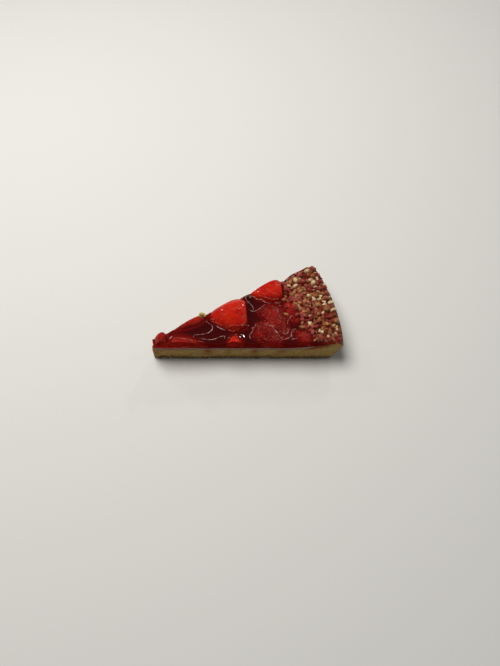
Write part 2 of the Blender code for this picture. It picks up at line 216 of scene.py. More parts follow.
def bakedShortcrust():
    # Baked butter pastry, broken at the cuts: a matt golden crumb with a browned skin outside
    material, tree, shader, place = newMaterial(
        "baked shortcrust", {"Roughness": 0.85, "Specular IOR Level": 0.2})
    crust = addNode(tree, "ShaderNodeAttribute", {"attribute_name": "crust"}).outputs["Fac"]
    glazed = addNode(tree, "ShaderNodeAttribute", {"attribute_name": "glazed"}).outputs["Fac"]
    mottle = addNode(tree, "ShaderNodeTexNoise", {"Scale": 800, "Detail": 5}, {"Vector": place})
    patches = addNode(tree, "ShaderNodeTexNoise", {"Scale": 90, "Detail": 3}, {"Vector": place})
    crumb = addNode(tree, "ShaderNodeValToRGB",
                    {"ramp": [(0.25, "#96753C"), (0.50, "#B39353"), (0.75, "#C8AC72")]},
                    {"Fac": mottle.outputs["Fac"]})
    skin = addNode(tree, "ShaderNodeValToRGB",
                   {"ramp": [(0.30, "#553216"), (0.50, "#784C26"), (0.72, "#9A6A38")]},
                   {"Fac": patches.outputs["Fac"]})
    edge = addNode(tree, "ShaderNodeMath", {"operation": "MULTIPLY_ADD", 1: 0.6, 2: -0.3},
                   {0: mottle.outputs["Fac"]})
    browned = addNode(tree, "ShaderNodeMath", {"operation": "ADD", "use_clamp": True},
                      {0: crust, 1: edge.outputs["Value"]})
    baked = addNode(tree, "ShaderNodeMix", {"data_type": "RGBA"},
                    {"Factor": browned.outputs["Value"], 6: crumb.outputs["Color"], 7: skin.outputs["Color"]})
    glaze = addNode(tree, "ShaderNodeMix", {"data_type": "RGBA", 7: hexColour("#7A2410")},
                    {"Factor": glazed, 6: baked.outputs[2]})
    tree.links.new(glaze.outputs[2], shader.inputs["Base Color"])
    # Open crumb, 0.4 mm across
    pores = addNode(tree, "ShaderNodeTexVoronoi", {"Scale": 2400}, {"Vector": place})
    bump = addNode(tree, "ShaderNodeBump", {"Strength": 0.5, "Distance": 0.0002},
                   {"Height": pores.outputs["Distance"]})
    tree.links.new(bump.outputs["Normal"], shader.inputs["Normal"])
    return material


def setCustard():
    # Cooked vanilla cream that has set: pale and smooth, dulled, stained pink where juice ran
    material, tree, shader, place = newMaterial(
        "set vanilla custard", {"Roughness": 0.5, "Subsurface Weight": 0.1, "Subsurface Scale": 0.002})
    stain = addNode(tree, "ShaderNodeAttribute", {"attribute_name": "stain"}).outputs["Fac"]
    cloud = addNode(tree, "ShaderNodeTexNoise", {"Scale": 300, "Detail": 4}, {"Vector": place})
    cream = addNode(tree, "ShaderNodeValToRGB", {"ramp": [(0.35, "#885B40"), (0.65, "#A07254")]},
                    {"Fac": cloud.outputs["Fac"]})
    mixed = addNode(tree, "ShaderNodeMix", {"data_type": "RGBA", 7: hexColour("#6A1A14")},
                    {"Factor": stain, 6: cream.outputs["Color"]})
    tree.links.new(mixed.outputs[2], shader.inputs["Base Color"])
    bump = addNode(tree, "ShaderNodeBump", {"Strength": 0.3, "Distance": 0.0002},
                   {"Height": cloud.outputs["Fac"]})
    tree.links.new(bump.outputs["Normal"], shader.inputs["Normal"])
    return material


def setFruitJelly():
    # Poured fruit jelly: wet and mirror smooth, almost black where deep and clear red where thin
    material, tree, shader, place = newMaterial(
        "set fruit jelly", {"Coat Roughness": 0.03, "Coat IOR": 1.4, "Specular IOR Level": 0.0})
    wet = addNode(tree, "ShaderNodeAttribute", {"attribute_name": "wet"}).outputs["Fac"]
    rough = addNode(tree, "ShaderNodeMapRange", {"To Min": 0.5, "To Max": 0.15}, {"Value": wet})
    tree.links.new(wet, shader.inputs["Coat Weight"])
    tree.links.new(rough.outputs["Result"], shader.inputs["Roughness"])
    depth = addNode(tree, "ShaderNodeAttribute", {"attribute_name": "depth"}).outputs["Fac"]
    colour = addNode(tree, "ShaderNodeValToRGB",
                     {"ramp": [(0.0, "#6A0905"), (0.35, "#4E0504"), (1.0, "#380303")]}, {"Fac": depth})
    baked = addNode(tree, "ShaderNodeAttribute", {"attribute_name": "baked"}).outputs["Fac"]
    mixed = addNode(tree, "ShaderNodeMix", {"data_type": "RGBA", 7: hexColour("#561A0C")},
                    {"Factor": baked, 6: colour.outputs["Color"]})
    section = addNode(tree, "ShaderNodeValToRGB", {"ramp": [(0.0, "#B8241A"), (1.0, "#6E120C")]},
                      {"Fac": depth})
    shown = addNode(tree, "ShaderNodeMix", {"data_type": "RGBA"},
                    {"Factor": wet, 6: section.outputs["Color"], 7: mixed.outputs[2]})
    tree.links.new(shown.outputs[2], shader.inputs["Base Color"])
    wave = addNode(tree, "ShaderNodeTexNoise", {"Scale": 260, "Detail": 2}, {"Vector": place})
    bump = addNode(tree, "ShaderNodeBump", {"Strength": 0.15, "Distance": 0.0002},
                   {"Height": wave.outputs["Fac"]})
    tree.links.new(bump.outputs["Normal"], shader.inputs["Normal"])
    return material


def glazedStrawberry(name, paleHex, ripeHex, darkHex, grainStrength):
    # Strawberry skin under a thin glaze: waxy red flesh, sinking into darker jelly at its foot
    material, tree, shader, place = newMaterial(
        name, {"Roughness": 0.4, "Specular IOR Level": 0.2, "Coat Weight": 0.35, "Coat Roughness": 0.06,
               "Subsurface Weight": 0.05, "Subsurface Scale": 0.002})
    film = addNode(tree, "ShaderNodeAttribute", {"attribute_name": "clear"}).outputs["Fac"]
    mottle = addNode(tree, "ShaderNodeTexNoise", {"Scale": 130, "Detail": 3}, {"Vector": place})
    skin = addNode(tree, "ShaderNodeValToRGB", {"ramp": [(0.35, ripeHex), (0.68, paleHex)]},
                   {"Fac": mottle.outputs["Fac"]})
    mixed = addNode(tree, "ShaderNodeMix", {"data_type": "RGBA", 6: hexColour(darkHex)},
                    {"Factor": film, 7: skin.outputs["Color"]})
    tree.links.new(mixed.outputs[2], shader.inputs["Base Color"])
    grain = addNode(tree, "ShaderNodeTexNoise", {"Scale": 620, "Detail": 3}, {"Vector": place})
    bump = addNode(tree, "ShaderNodeBump", {"Strength": grainStrength, "Distance": 0.0004},
                   {"Height": grain.outputs["Fac"]})
    tree.links.new(bump.outputs["Normal"], shader.inputs["Normal"])
    return material


def cutStrawberry():
    # Knife-cut flesh: fibrous and dull
    material, tree, shader, place = newMaterial(
        "cut strawberry flesh", {"Roughness": 0.6, "Specular IOR Level": 0.0})
    fibre = addNode(tree, "ShaderNodeTexNoise", {"Scale": 350, "Detail": 4}, {"Vector": place})
    colour = addNode(tree, "ShaderNodeValToRGB", {"ramp": [(0.3, "#7E140E"), (0.7, "#A6241A")]},
                     {"Fac": fibre.outputs["Fac"]})
    tree.links.new(colour.outputs["Color"], shader.inputs["Base Color"])
    bump = addNode(tree, "ShaderNodeBump", {"Strength": 0.4, "Distance": 0.0002},
                   {"Height": fibre.outputs["Fac"]})
    tree.links.new(bump.outputs["Normal"], shader.inputs["Normal"])
    return material


def driedAchene():
    # Strawberry pips: small hard seeds, straw coloured, reddened by the glaze over them
    material, tree, shader, place = newMaterial(
        "strawberry pip", {"Roughness": 0.35, "Coat Weight": 1.0, "Coat Roughness": 0.08})
    mottle = addNode(tree, "ShaderNodeTexNoise", {"Scale": 500}, {"Vector": place})
    colour = addNode(tree, "ShaderNodeValToRGB", {"ramp": [(0.35, "#8A1C0C"), (0.65, "#A8401E")]},
                     {"Fac": mottle.outputs["Fac"]})
    tree.links.new(colour.outputs["Color"], shader.inputs["Base Color"])
    return material


def choppedNut(name, lightHex, darkHex, coat):
    # Chopped nut kernel: waxy, granular where it broke
    material, tree, shader, place = newMaterial(
        name, {"Roughness": 0.5, "Coat Weight": coat, "Coat Roughness": 0.12})
    juice = addNode(tree, "ShaderNodeAttribute", {"attribute_name": "juice"}).outputs["Fac"]
    mottle = addNode(tree, "ShaderNodeTexNoise", {"Scale": 380, "Detail": 4}, {"Vector": place})
    colour = addNode(tree, "ShaderNodeValToRGB", {"ramp": [(0.35, darkHex), (0.62, lightHex)]},
                     {"Fac": mottle.outputs["Fac"]})
    mixed = addNode(tree, "ShaderNodeMix", {"data_type": "RGBA", 7: hexColour("#6C120C")},
                    {"Factor": juice, 6: colour.outputs["Color"]})
    tree.links.new(mixed.outputs[2], shader.inputs["Base Color"])
    grain = addNode(tree, "ShaderNodeTexNoise", {"Scale": 2200, "Detail": 2}, {"Vector": place})
    bump = addNode(tree, "ShaderNodeBump", {"Strength": 0.4, "Distance": 0.0002},
                   {"Height": grain.outputs["Fac"]})
    tree.links.new(bump.outputs["Normal"], shader.inputs["Normal"])
    return material


# Juice that ran down the cuts: distance from the centre, width, strength

juiceRuns = [(0.0415, 0.0040, 1.0), (0.0735, 0.0030, 0.9), (0.0560, 0.0022, 0.6), (0.0915, 0.0034, 0.7)]

# Shortcrust base

pastry = {
    "top": [(0.098, 0.011), (0.104, 0.0119), (0.109, 0.0138), (0.1135, 0.0164), (0.118, 0.0182),
            (0.122, 0.0194), (0.1253, 0.0202), (0.1288, 0.0204), (0.1315, 0.0198), (0.133, 0.0184)],
    "wall": [(0.0, 0.1246), (0.0008, 0.1263), (0.0032, 0.1279), (0.0076, 0.1296), (0.0120, 0.1314),
             (0.0160, 0.1327), (0.0184, 0.1330)],
    "step": 0.0005,
    "turns": 100,
    "rows": 24,
    "grain": 0.0016,      # crumbs at the cuts
    "crumbDepth": 0.0004,
    "swell": (0.0003, 200),  # broad unevenness of the cuts: depth and scale
    "reach": 0.004,
    "crag": 0.0009,       # lumps on the baked outside
    "cragScale": 260,
    "cragBand": 0.006,
    "ragged": 0.0024,     # broken bottom edge
    "raggedScale": 420,
    "raggedReach": 0.0016,
    "notch": (0.0070, 0.0135, 0.0022),  # broken away under the tip: from, to, height
    "notchSlope": 0.001,
    # Browned skin: up from the underside, in from the wall, and out along the top
    "brownUnder": (0.0002, 0.0012),
    "brownWall": (0.0013, 0.0003),
    "brownTop": (0.1268, 0.1285),
    "brownTopShare": (0.93, 1),
    "brownFoot": (0.0006, 0.0032, 0.3),  # faint, at the foot of the cuts
    # Juice on top of the rim, less so at the bare corner, down its inner slope, and at the tip;
    # each Share says how high up it shows
    "rimJuice": (0.118, 0.126, 0.75),
    "rimJuiceShare": (0.86, 1),
    "bareOut": (0.1255, 0.129),
    "bareIn": (0.005, 0.011),
    "slopeFrom": (0.104, 0.113),
    "slopeTo": (0.121, 0.128),
    "slopeShare": (0.70, 1.0),
    "tipJuice": (0.006, 0.018, 0.35),
    "tipShare": (0.2, 0.9),
    "runShare": (0.25, 1.1),
}


def crustAt(radius, share, pastWall, height, bottom):
    # How browned the pastry is
    deepest, shallowest = pastry["brownWall"]
    footFrom, footTo, footStrength = pastry["brownFoot"]
    underside = 1 - ease(height - bottom, *pastry["brownUnder"])
    bakedWall = ease(pastWall, -deepest, -shallowest)
    topCrust = ease(radius, *pastry["brownTop"]) * ease(share, *pastry["brownTopShare"])
    return max(underside, bakedWall, topCrust, footStrength * (1 - ease(height, footFrom, footTo)))


def juiceAt(radius, share, y, broken):
    # How far juice stains the pastry: on the rim, down its slope, at the tip and where it ran down
    rimFrom, rimTo, rimStrength = pastry["rimJuice"]
    tipFrom, tipTo, tipStrength = pastry["tipJuice"]
    bareCorner = ease(radius, *pastry["bareOut"]) * (1 - ease(y, *pastry["bareIn"]))
    onRim = rimStrength * ease(radius, rimFrom, rimTo) * ease(share, *pastry["rimJuiceShare"])
    onRim *= 1 - 0.8 * bareCorner
    onSlope = ease(radius, *pastry["slopeFrom"]) * (1 - ease(radius, *pastry["slopeTo"]))
    onSlope *= 0.9 * ease(share + 0.2 * broken, *pastry["slopeShare"])
    atTip = tipStrength * (1 - ease(radius, tipFrom, tipTo)) * ease(share, *pastry["tipShare"])
    ranDown = max(strength * math.exp(-((radius - place) / width) ** 2)
                  for place, width, strength in juiceRuns)
    ranDown *= 0.7 * ease(share + 0.3 * broken, *pastry["runShare"])
    return max(onRim, onSlope, atTip, ranDown)


def pastryWedge():
    nose = tart["noseRadius"]
    rim = tart["rimRadius"]
    rimTop = pastry["top"][-1][1]
    notchFrom, notchTo, notchHeight = pastry["notch"]
    radii = stepsBetween(nose, rim, pastry["step"] / detail)
    bm = wedge(radii, pastry["rows"], round(pastry["turns"] * detail))
    crustLayer = bm.verts.layers.float.new("crust")
    glazeLayer = bm.verts.layers.float.new("glazed")
    for vert in bm.verts:
        share = vert.co.z
        radius = math.hypot(vert.co.x, vert.co.y)
        angle = math.atan2(vert.co.y, vert.co.x)
        distance = fromCut(vert.co)[0]
        top = along(pastry["top"], radius) + rimLift(radius, angle)
        wall = along(pastry["wall"], share * rimTop)
        outside = ease(radius, rim - pastry["cragBand"], rim)
        spot = Vector((vert.co.x, vert.co.y, share * rimTop))
        lumps = 0.5 + 0.5 * noise.noise(spot * pastry["cragScale"])
        grown = nose + (radius - nose) * (wall - nose) / (rim - nose) - pastry["crag"] * lumps * outside
        bottom = notchHeight * ease(radius, notchFrom, notchFrom + pastry["notchSlope"])
        bottom *= 1 - ease(radius, notchTo - pastry["notchSlope"], notchTo)
        broken = 0.5 + 0.5 * noise.noise(spot * pastry["raggedScale"])
        bottom += pastry["ragged"] * broken * broken * (1 - ease(distance, 0, pastry["raggedReach"]))
        height = bottom + share * (top - bottom) - pastry["crag"] * (1 - lumps) * outside * share
        vert.co = Vector((vert.co.x * grown / radius, vert.co.y * grown / radius, height))
        vert[crustLayer] = crustAt(radius, share, grown - wall, height, bottom)
        vert[glazeLayer] = juiceAt(radius, share, vert.co.y, broken)

    def crumbRelief(point):
        fine = crumble(point, pastry["grain"])
        swellDepth, swellScale = pastry["swell"]
        return pastry["crumbDepth"] * (1.2 - fine) + swellDepth * noise.noise(point * swellScale)

    carveCuts(bm, pastry["reach"], crumbRelief)
    return bm


pastryPiece = showPiece("pastry", pastryWedge(), [bakedShortcrust()], 60, ["pastry_base"])

# Vanilla cream

cream = {
    "top": [(0.098, 0.0145), (0.104, 0.0152), (0.109, 0.0163), (0.1135, 0.0174)],
    "nose": 0.0043,
    "step": 0.0006,
    "turns": 56,
    "rows": 8,
    "pinkUntil": 0.030,
    "stainScale": 300,
    "stainShare": (0.55, 1.0),  # pink where the jelly lies on it
    "reach": 0.004,
    "relief": (0.00025, 350),   # unevenness of its cuts: depth and scale
    "setIn": 0.0002,
}


def creamWedge():
    bm = wedge(stepsBetween(cream["nose"], cream["top"][-1][0], cream["step"]), cream["rows"], cream["turns"])
    stainLayer = bm.verts.layers.float.new("stain")
    for vert in bm.verts:
        share = vert.co.z
        radius = math.hypot(vert.co.x, vert.co.y)
        angle = math.atan2(vert.co.y, vert.co.x)
        lift = rimLift(radius, angle)
        bottom = along(pastry["top"], radius) + lift
        top = along(cream["top"], radius) + lift
        vert.co.z = bottom + share * (top - bottom)
        stain = 0.45 * (1 - ease(radius, 0.6 * cream["pinkUntil"], cream["pinkUntil"]))
        for place, width, strength in juiceRuns:
            spread = width * (0.5 + 0.5 * share)
            away = (radius - place) / spread
            stain = max(stain, strength * math.exp(-away * away) * (0.35 + 0.65 * share))
        patches = 0.7 + 0.6 * noise.noise(vert.co * cream["stainScale"])
        vert[stainLayer] = max(stain, ease(share, *cream["stainShare"]) * patches)
    depth, scale = cream["relief"]
    carveCuts(bm, cream["reach"], lambda point: depth * noise.noise(point * scale) + cream["setIn"])
    return bm


showPiece("cream", creamWedge(), [setCustard()], 60, ["vanilla_cream"])

# Strawberries: halves and pieces laid on their cut sides.
# middle and size in plan, tip: the way the tip points, base and top: heights, hull: share left at
# the stalk end, taper, crest, square: its fullness, knife: lines whose left side is kept,
# look: which finish, pips: about how many on its upper side, pit: how deep they sit

crease = ((0.0785, 0.0198), (0.0930, 0.0002))
nuttedEdge = ((0.0922, 0.0310), (0.0992, 0.0140))
frontEdge = ((0.0500, 0.0086), (0.0700, 0.0086))
tipEdge = ((0.0414, 0.0250), (0.0414, 0.0120))
backEdge = ((0.0950, 0.0305), (0.0750, 0.0295))
berries = [
    dict(middle=(0.0104, 0.0029), size=(0.0094, 0.0084), tip=195, base=0.0160, top=0.0266,
         hull=1.0, taper=0.6, crest=0.6, square=3.0, knife=[], look="soft", pips=26, pit=0.00020),
    dict(middle=(0.0288, 0.0000), size=(0.0275, 0.0136), tip=358, base=0.0161, top=0.0230,
         hull=1.0, taper=0.8, crest=0.7, square=2.4, knife=[], look="soft", pips=70, pit=0.00022),
    dict(middle=(0.0282, 0.0150), size=(0.0300, 0.0100), tip=209, base=0.0163, top=0.0243,
         hull=0.95, taper=0.7, crest=0.7, square=2.4, knife=[tipEdge[::-1]], look="soft",
         pips=80, pit=0.00022),
    dict(middle=(0.0556, 0.0219), size=(0.0325, 0.0268), tip=186, base=0.0160, top=0.0280,
         hull=0.86, taper=0.80, crest=0.62, square=2.3, knife=[frontEdge, tipEdge], look="bright",
         pips=190, pit=0.00020),
    dict(middle=(0.0600, 0.0008), size=(0.0170, 0.0136), tip=92, base=0.0162, top=0.0240,
         hull=1.0, taper=0.9, crest=0.5, square=2.0, knife=[frontEdge[::-1]], look="bright",
         pips=70, pit=0.0003),
    dict(middle=(0.0806, 0.0406), size=(0.0290, 0.0208), tip=186, base=0.0161, top=0.0272,
         hull=0.89, taper=1.15, crest=0.48, square=2.6, knife=[backEdge[::-1]], look="bright",
         pips=130, pit=0.00016),
    dict(middle=(0.0876, 0.0158), size=(0.0328, 0.0200), tip=296, base=0.0163, top=0.0246,
         hull=1.0, taper=0.6, crest=0.6, square=2.5, knife=[crease, nuttedEdge[::-1], backEdge],
         look="deep", pips=200, pit=0.00040),
    dict(middle=(0.0830, 0.0064), size=(0.0235, 0.0190), tip=318, base=0.0160, top=0.0240,
         hull=1.0, taper=0.6, crest=0.6, square=2.5, knife=[crease[::-1]], look="deep",
         pips=150, pit=0.00040),
    dict(middle=(0.1008, 0.0236), size=(0.0222, 0.0172), tip=278, base=0.0187, top=0.0243,
         hull=1.0, taper=0.7, crest=0.6, square=2.5, knife=[nuttedEdge], look="soft", pips=90, pit=0.0004),
    dict(middle=(0.1046, 0.0048), size=(0.0152, 0.0126), tip=150, base=0.0185, top=0.0238,
         hull=1.0, taper=0.7, crest=0.6, square=2.2, knife=[], look="soft", pips=60, pit=0.0004),
]
strawberry = {
    "shoulder": 0.72,
    "wave": 0.06,
    "waveScale": 1.4,
    "waveShift": 3.7,
    "rings": 90,
    "sides": 150,
    "measured": (40, 64),      # rings and sides of the coarse copies that distances are taken from
    "pocket": (26, 44),        # and of those that cut the jelly
    "pocketSpare": -0.00012,
    "pastCuts": 0.002,         # those run this far out of the slice
    "cutCloseness": 0.000001,
    "pitWidth": 0.0008,
    "pipLength": 0.0010,
    "pipWidth": 0.33,          # half of its width and height, as shares of its length
    "pipHeight": 0.26,
    "pipDrift": 0.25,
    "pipSunk": 1.1,
    "pipFromCut": 0.0007,
    "pipAbove": 0.0003,
    "patchy": (0.0012, 300),   # how far and how fine the glaze's edge on the skin wanders
    # Height above the jelly where the glaze begins to clear and where none dulls the skin
    "clearFrom": 0.0002,
    "clearAt": {"bright": 0.0022, "soft": 0.0046, "deep": 0.0050},
}


def berryGirth(share, taper):
    # Half width of a berry, as a share, from its tip at 0 to its stalk end at 1
    if share < strawberry["shoulder"]:
        return math.sin(math.pi / 2 * share / strawberry["shoulder"]) ** taper
    past = (share - strawberry["shoulder"]) / (1 - strawberry["shoulder"])
    return math.sqrt(max(0.0, 1 - past * past))


def berryBody(number, rings, sides, spare=0.0):
    # The whole berry before any cut, in its place; spare grows it on every side
    spec = berries[number]
    halfLength = spec["size"][0] / 2 + spare
    halfWidth = spec["size"][1] / 2 + spare
    rise = spec["top"] - spec["base"] + spare
    bm = bmesh.new()
    verts = []
    for index in range(rings + 1):
        share = 0.5 - 0.5 * math.cos(math.pi * index / rings)
        girth = 0.0 if index in (0, rings) else berryGirth(share, spec["taper"])
        verts.append(bm.verts.new((1 - 2 * share, girth, 0.0)))
    edges = [bm.edges.new(pair) for pair in zip(verts, verts[1:])]
    bmesh.ops.spin(
        bm, geom=verts + edges, cent=(0, 0, 0), axis=(1, 0, 0), dvec=(0, 0, 0),
        angle=math.tau, steps=sides, use_merge=True, use_duplicate=False,
    )
    bmesh.ops.remove_doubles(bm, verts=bm.verts[:], dist=mergeWithin)
    power = 2 / spec["square"]
    for vert in bm.verts:
        girth = math.hypot(vert.co.y, vert.co.z)
        shift = Vector((strawberry["waveShift"] * number, 0, 0))
        wave = 1 + strawberry["wave"] * noise.noise(vert.co * strawberry["waveScale"] + shift)
        turn = math.atan2(vert.co.z, vert.co.y)
        across = math.copysign(abs(math.cos(turn)) ** power, math.cos(turn))
        upward = math.copysign(abs(math.sin(turn)) ** power, math.sin(turn))
        vert.co.x *= halfLength
        vert.co.y = girth * across * halfWidth * wave
        vert.co.z = girth ** spec["crest"] * upward * rise * wave
    bmesh.ops.transform(bm, matrix=berryPlace(spec), verts=bm.verts[:])
    bmesh.ops.recalc_face_normals(bm, faces=bm.faces[:])
    return bm


def berryPlace(spec):
    turned = Matrix.Rotation(math.radians(spec["tip"]), 4, "Z")
    return Matrix.Translation((*spec["middle"], spec["base"])) @ turned


def berryCuts(number, spare=0.0, pastCuts=0.0):
    # (point, outward) of each plane that cuts this berry
    spec = berries[number]
    place = berryPlace(spec)
    cuts = [(Vector((0, 0, spec["base"] - spare)), -up)]
    if spec["hull"] < 1:
        end = spec["size"][0] * (0.5 - spec["hull"]) - spare
        cuts.append((place @ Vector((end, 0, 0)), place.to_3x3() @ Vector((-1, 0, 0))))
    for (x0, y0), (x1, y1) in spec["knife"]:
        run = Vector((x1 - x0, y1 - y0, 0)).normalized()
        right = Vector((run.y, -run.x, 0))
        cuts.append((Vector((x0, y0, 0)) + right * spare, right))
    cuts.append((-nearInward * pastCuts, -nearInward))
    cuts.append((-farInward * pastCuts, -farInward))
    return cuts


def cutBerry(bm, cuts):
    for point, outward in cuts:
        for face in cutAway(bm, point, outward, strawberry["cutCloseness"]):
            face.material_index = 1


# Red fruit jelly: pools between the berries, a bed under the nuts, a thin lip over the rim

jelly = {
    "nose": 0.0056,
    "edge": 0.1268,
    "level": 0.0203,
    "bedRise": 0.0014,
    "bedFrom": 0.094,
    "bedTo": 0.103,
    "lipFrom": 0.112,
    "lip": 0.0011,
    "ripple": 0.0005,
    "rippleScale": 110,
    # Local rises and hollows: place in plan, reach, height
    "swells": [(0.0672, 0.0360, 0.0036, 0.0030), (0.0936, 0.0519, 0.0036, -0.0035),
               (0.1279, 0.0081, 0.0011, 0.0007)],
    "climb": (0.0011, 0.0028),     # it leans up the berries
    "meniscus": (0.0006, 0.0006),  # and wets them: height, reach
    "fineStep": 0.0004,
    "coarseStep": 0.0007,
    "fineTo": 0.108,
    "rows": 10,
    "turns": 130,
    "wetScale": 400,
    "edgeRound": 0.0009,   # its top edges at the cuts: reach, and how far they drop as a share of it
    "edgeDrop": 0.6,
    "deepAt": 0.0026,    # distance from a berry at which it looks almost black
    "section": (0.00005, 0.0005),  # how far in the clear look of the cuts ends
    "thin": (0.0008, 0.0036),      # and over which thickness it darkens
    "paleTip": (0.016, 0.032),     # it is clearer by the tip, on top and at the cuts
    "paleCut": (0.010, 0.045),
    "bakedFrom": (0.112, 0.124),
    "carveReach": 0.004,
    "carve": [(0.00014, 160), (0.00006, 600)],  # unevenness of its cuts: depth and scale
}


def jellyFloor(radius):
    if radius <= cream["top"][-1][0]:
        return along(cream["top"], radius)
    return along(pastry["top"], radius)


def jellySurface(x, y):
    radius = math.hypot(x, y)
    angle = math.atan2(y, x)
    height = jelly["level"] + jelly["bedRise"] * ease(radius, jelly["bedFrom"], jelly["bedTo"])
    height += jelly["ripple"] * noise.noise(Vector((x, y, 0.0)) * jelly["rippleScale"])
    for middleX, middleY, reach, rise in jelly["swells"]:
        away = math.hypot(x - middleX, y - middleY) / reach
        if away < 3:
            height += rise * math.exp(-away * away)
    lip = jellyFloor(radius) + jelly["lip"]
    share = ease(radius, jelly["lipFrom"], jelly["edge"])
    return height * (1 - share) + lip * share + rimLift(radius, angle)


def smoothPath(points, spacing):
    # Places along a smooth curve through the points
    placed = []
    padded = [points[0], *points, points[-1]]
    for before, start, end, after in zip(padded, padded[1:], padded[2:], padded[3:]):
        before, start, end, after = (Vector(point) for point in (before, start, end, after))
        count = max(2, round((end - start).length / spacing))
        for index in range(count):
            t = index / count
            placed.append(0.5 * (2 * start + (end - before) * t
                                 + (2 * before - 5 * start + 4 * end - after) * t * t
                                 + (3 * start - before - 3 * end + after) * t ** 3))
    return placed


def treeOfPoints(points):
    tree = KDTree(len(points))
    for index, point in enumerate(points):
        tree.insert(point, index)
    tree.balance()
    return tree


def berryTree(number, cut):
    bm = berryBody(number, *strawberry["measured"])
    if cut:
        cutBerry(bm, berryCuts(number, pastCuts=strawberry["pastCuts"]))
    bmesh.ops.triangulate(bm, faces=bm.faces[:])
    tree = BVHTree.FromBMesh(bm)
    bm.free()
    return tree


wholeTrees = [berryTree(number, False) for number in range(len(berries))]
berryTrees = [berryTree(number, True) for number in range(len(berries))]
print("berries placed")


def distanceTo(tree, point):
    away = tree.find_nearest(point, farAway)[3]
    return farAway if away is None else away


def berryDistance(point):
    return min(distanceTo(tree, point) for tree in berryTrees)


def jellyTop(x, y):
    # The surface with its lean up the berries
    height = jellySurface(x, y)
    climbHeight, climbReach = jelly["climb"]
    wetHeight, wetReach = jelly["meniscus"]
    away = berryDistance(Vector((x, y, height)))
    wetHeight *= 0.5 + 0.5 * noise.noise(Vector((x, y, 0.0)) * jelly["wetScale"])
    return height + climbHeight * math.exp(-(away / climbReach) ** 2) + wetHeight * math.exp(-away / wetReach)


def jellyWedge():
    radii = stepsBetween(jelly["nose"], jelly["fineTo"], jelly["fineStep"] / detail)
    radii += stepsBetween(jelly["fineTo"], jelly["edge"], jelly["coarseStep"])[1:]
    bm = wedge(radii, jelly["rows"], round(jelly["turns"] * detail))
    surface = {}
    for vert in bm.verts:
        key = (round(vert.co.x, 6), round(vert.co.y, 6))
        if key not in surface:
            height = jellyTop(vert.co.x, vert.co.y)
            over = 1 - min(1.0, fromCut(vert.co)[0] / jelly["edgeRound"])
            surface[key] = height - jelly["edgeDrop"] * jelly["edgeRound"] * over * over
        radius = math.hypot(vert.co.x, vert.co.y)
        angle = math.atan2(vert.co.y, vert.co.x)
        floor = jellyFloor(radius) + rimLift(radius, angle)
        vert.co.z = floor + vert.co.z * (surface[key] - floor)

    def relief(point):
        return sum(depth * noise.noise(point * scale) for depth, scale in jelly["carve"])

    carveCuts(bm, jelly["carveReach"], relief)
    return bm


def pocketTool():
    # All the berries as one cutter, a hair smaller, so that the jelly meets their skin
    bm = bmesh.new()
    for number in range(len(berries)):
        body = berryBody(number, *strawberry["pocket"], spare=strawberry["pocketSpare"])
        cutBerry(body, berryCuts(number, spare=strawberry["pocketSpare"], pastCuts=strawberry["pastCuts"]))
        bmesh.ops.triangulate(body, faces=body.faces[:])
        addTo(bm, body)
    bmesh.ops.translate(bm, vec=centre, verts=bm.verts[:])
    bmesh.ops.recalc_face_normals(bm, faces=bm.faces[:])
    mesh = bpy.data.meshes.new("pockets")
    bm.to_mesh(mesh)
    bm.free()
    return bpy.data.objects.new("pockets", mesh)


def cutPockets(piece):
    tool = pocketTool()
    bpy.context.scene.collection.objects.link(tool)
    boolean = piece.modifiers.new("pockets", "BOOLEAN")
    boolean.operation = "DIFFERENCE"
    boolean.object = tool
    boolean.solver = "MANIFOLD"
    mesh = evaluatedMesh(piece)
    piece.modifiers.clear()
    piece.data = mesh
    bpy.data.objects.remove(tool)


def jellyDepth(co):
    # 0 where the jelly is thin and clear, 1 where it is deep
    away = berryDistance(co)
    radius = math.hypot(co.x, co.y)
    thickness = jellySurface(co.x, co.y) - jellyFloor(radius) - rimLift(radius, math.atan2(co.y, co.x))
    depth = ease(away, 0, jelly["deepAt"]) * ease(thickness, *jelly["thin"])
    inside = ease(fromCut(co)[0], *jelly["section"])
    fromTip = 0.35 + 0.65 * ease(co.x, *jelly["paleTip"])
    return inside * depth * fromTip + (1 - inside) * ease(co.x, *jelly["paleCut"])


jellyBody = jellyWedge()
bmesh.ops.triangulate(jellyBody, faces=jellyBody.faces[:])
jellyPiece = showPiece("jelly", jellyBody, [setFruitJelly()], 50, ["fruit_jelly"])
cutPockets(jellyPiece)
jellyPiece.data.shade_smooth()
jellyPiece.data.set_sharp_from_angle(angle=math.radians(50))
jellyPlaces = [vert.co - centre for vert in jellyPiece.data.vertices]
setAttribute(jellyPiece.data, "depth", [jellyDepth(co) for co in jellyPlaces])
setAttribute(jellyPiece.data, "wet", [ease(fromCut(co)[0], *jelly["section"]) for co in jellyPlaces])
setAttribute(jellyPiece.data, "baked",
             [ease(math.hypot(co.x, co.y), *jelly["bakedFrom"]) for co in jellyPlaces])
print("pockets cut,", len(jellyPiece.data.polygons), "faces")

# Strawberry pieces with their pips

looks = {
    "bright": glazedStrawberry("glazed strawberry bright", "#B81E04", "#9E0A04", "#5A0605", 0.5),
    "soft": glazedStrawberry("glazed strawberry soft", "#A82216", "#8A0E0A", "#5E0806", 0.7),
    "deep": glazedStrawberry("glazed strawberry deep", "#861008", "#620604", "#480404", 1.0),
}
cutFlesh = cutStrawberry()
pipRng = random.Random(7)


